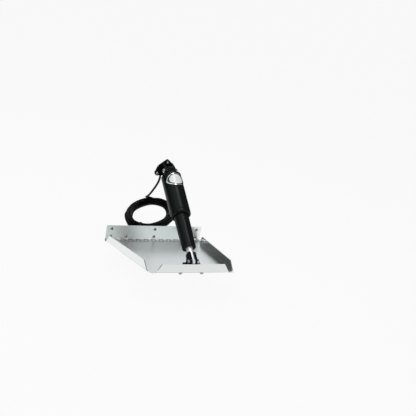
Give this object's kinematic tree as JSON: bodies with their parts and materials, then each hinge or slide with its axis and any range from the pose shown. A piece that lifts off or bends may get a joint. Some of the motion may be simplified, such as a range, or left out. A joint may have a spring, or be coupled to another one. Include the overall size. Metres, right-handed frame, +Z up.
{
  "type": "boat trim tab",
  "caption": "Stainless trim tab: a folded tray blade on a piano hinge, lowered by a black electric screw actuator between two brackets, with a coiled cable.",
  "frame": {"origin": "centre of the transom plate's screw pattern, on the transom face", "axes": "+X along the hinge to starboard, +Y into the boat, +Z up the transom; the blade points aft, along -Y"},
  "size_m": [0.312, 0.6149, 0.261],
  "materials": {
    "stainless_sheet": "satin stainless sheet",
    "fastener": "bright stainless fasteners",
    "black_plastic": "satin black moulded plastic",
    "cable_jacket": "black cable jacket",
    "seal_rubber": "black rubber",
    "bush_plastic": "natural bearing plastic",
    "ram_steel": "polished stainless ram",
    "motor_steel": "plated steel",
    "bronze": "bearing bronze",
    "contact": "plated contacts",
    "plate_face": "blank pale nameplate",
    "bezel": "bright rim"
  },
  "bodies": {
    "transom_side": {"transom_plate": "stainless_sheet", "hinge_pin": "fastener", "transom_screws": "fastener", "upper_bracket": "black_plastic", "bracket_gasket": "seal_rubber", "upper_bracket_screws": "fastener", "upper_pivot_bolt": "fastener", "upper_pivot_nut": "fastener", "cable_gland": "black_plastic", "cable_lead": "cable_jacket", "cable_coil": "cable_jacket", "coil_ties": "black_plastic", "cable_tail": "cable_jacket", "plug_body": "black_plastic", "plug_contacts": "contact"},
    "blade": {"tab_blade": "stainless_sheet", "lower_bracket": "black_plastic", "lower_bracket_bolts": "fastener", "lower_bracket_nuts": "fastener", "lower_pivot_bolt": "fastener", "lower_pivot_nut": "fastener"},
    "actuator": {"motor_housing": "black_plastic", "nameplate": "plate_face", "nameplate_bezel": "bezel", "top_cap": "black_plastic", "cap_oring": "seal_rubber", "pivot_bushes": "bush_plastic", "lower_tube": "black_plastic", "tube_oring": "seal_rubber", "guide_bush": "bush_plastic", "wiper_seal": "seal_rubber", "bearing_plate": "motor_steel", "thrust_bearing": "motor_steel", "gearhead": "motor_steel", "motor": "motor_steel", "motor_pad": "seal_rubber"},
    "ram": {"ram_rod": "ram_steel", "ram_nut": "bronze"},
    "screw": {"lead_screw": "ram_steel", "thrust_collar": "motor_steel"}
  },
  "joints": [
    {"name": "blade_swing", "type": "hinge", "parent": "transom_side", "child": "blade", "pos_m": [0, -0.0035, -0.024], "axis": [1, 0, 0], "range_deg": [0, 16.7]},
    {"name": "actuator_tilt", "type": "hinge", "parent": "transom_side", "child": "actuator", "pos_m": [0, -0.03, 0.207], "axis": [1, 0, 0], "range_deg": [0, 10.5]},
    {"name": "ram_slide", "type": "slide", "parent": "actuator", "child": "ram", "axis": [0, -0.8263, -0.5633], "range_m": [0, 0.0575]},
    {"name": "screw_spin", "type": "hinge", "parent": "actuator", "child": "screw", "pos_m": [0, -0.03, 0.207], "axis": [0, 0.8263, 0.5633], "range_deg": [0, 4138]}
  ],
  "couplings": [
    {"joint": "actuator_tilt", "follows": "blade_swing", "ratio": 0.62562},
    {"joint": "ram_slide", "follows": "blade_swing", "m_per_rad": 0.1967},
    {"joint": "screw_spin", "follows": "blade_swing", "ratio": 247.17}
  ]
}
